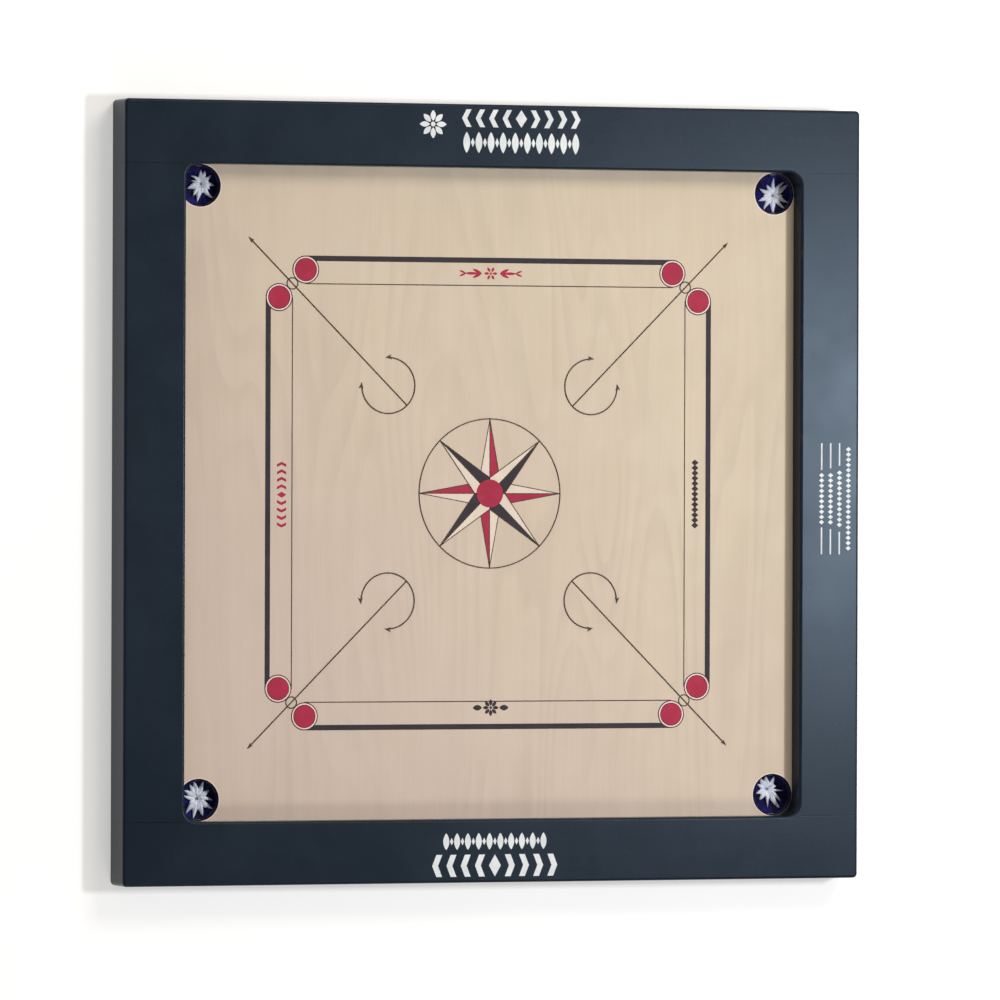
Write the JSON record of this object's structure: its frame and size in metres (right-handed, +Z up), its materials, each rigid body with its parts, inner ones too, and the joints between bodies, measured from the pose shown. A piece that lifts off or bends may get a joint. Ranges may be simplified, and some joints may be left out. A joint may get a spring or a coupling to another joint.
{
  "type": "carrom board",
  "caption": "Square tabletop board game with a raised half-lapped frame, a smooth birch plywood playing panel and a gathered cloth pouch in each corner pocket.",
  "frame": {"origin": "centre of the frame's underside, on the surface that the board lies on", "axes": "+Z up out of the playing surface, +Y away from the front player, +X to that player's right"},
  "size_m": [0.884, 0.884, 0.05],
  "materials": {
    "frame_paint": "satin blue-black paint on hardwood",
    "birch_ply": "smooth matt lacquer on pale birch veneer",
    "batten_wood": "sawn and sanded, unpainted",
    "pouch_cloth": "navy cloth with a pale gathered base",
    "tie_cord": "twisted pale cotton cord",
    "staple_wire": "galvanised wire",
    "screw_steel": "zinc plated",
    "marking_ink_dark": "screen-printed ink under lacquer",
    "marking_ink_red": "screen-printed ink under lacquer",
    "marking_ink_pale": "screen-printed ink under lacquer",
    "rail_ink_white": "screen-printed ink on paint"
  },
  "bodies": {
    "root": {"front_rail": "frame_paint", "back_rail": "frame_paint", "left_rail": "frame_paint", "right_rail": "frame_paint", "front_left_cove": "frame_paint", "front_right_cove": "frame_paint", "back_left_cove": "frame_paint", "back_right_cove": "frame_paint", "playing_panel": "birch_ply", "front_batten": "batten_wood", "back_batten": "batten_wood", "left_batten": "batten_wood", "right_batten": "batten_wood", "front_left_pouch": "pouch_cloth", "front_right_pouch": "pouch_cloth", "back_left_pouch": "pouch_cloth", "back_right_pouch": "pouch_cloth", "front_left_pouch_tie": "tie_cord", "front_right_pouch_tie": "tie_cord", "back_left_pouch_tie": "tie_cord", "back_right_pouch_tie": "tie_cord", "pocket_staples": "staple_wire", "corner_screws": "screw_steel", "panel_screws": "screw_steel", "batten_screws": "screw_steel", "batten_end_screws": "screw_steel"}
  },
  "joints": []
}
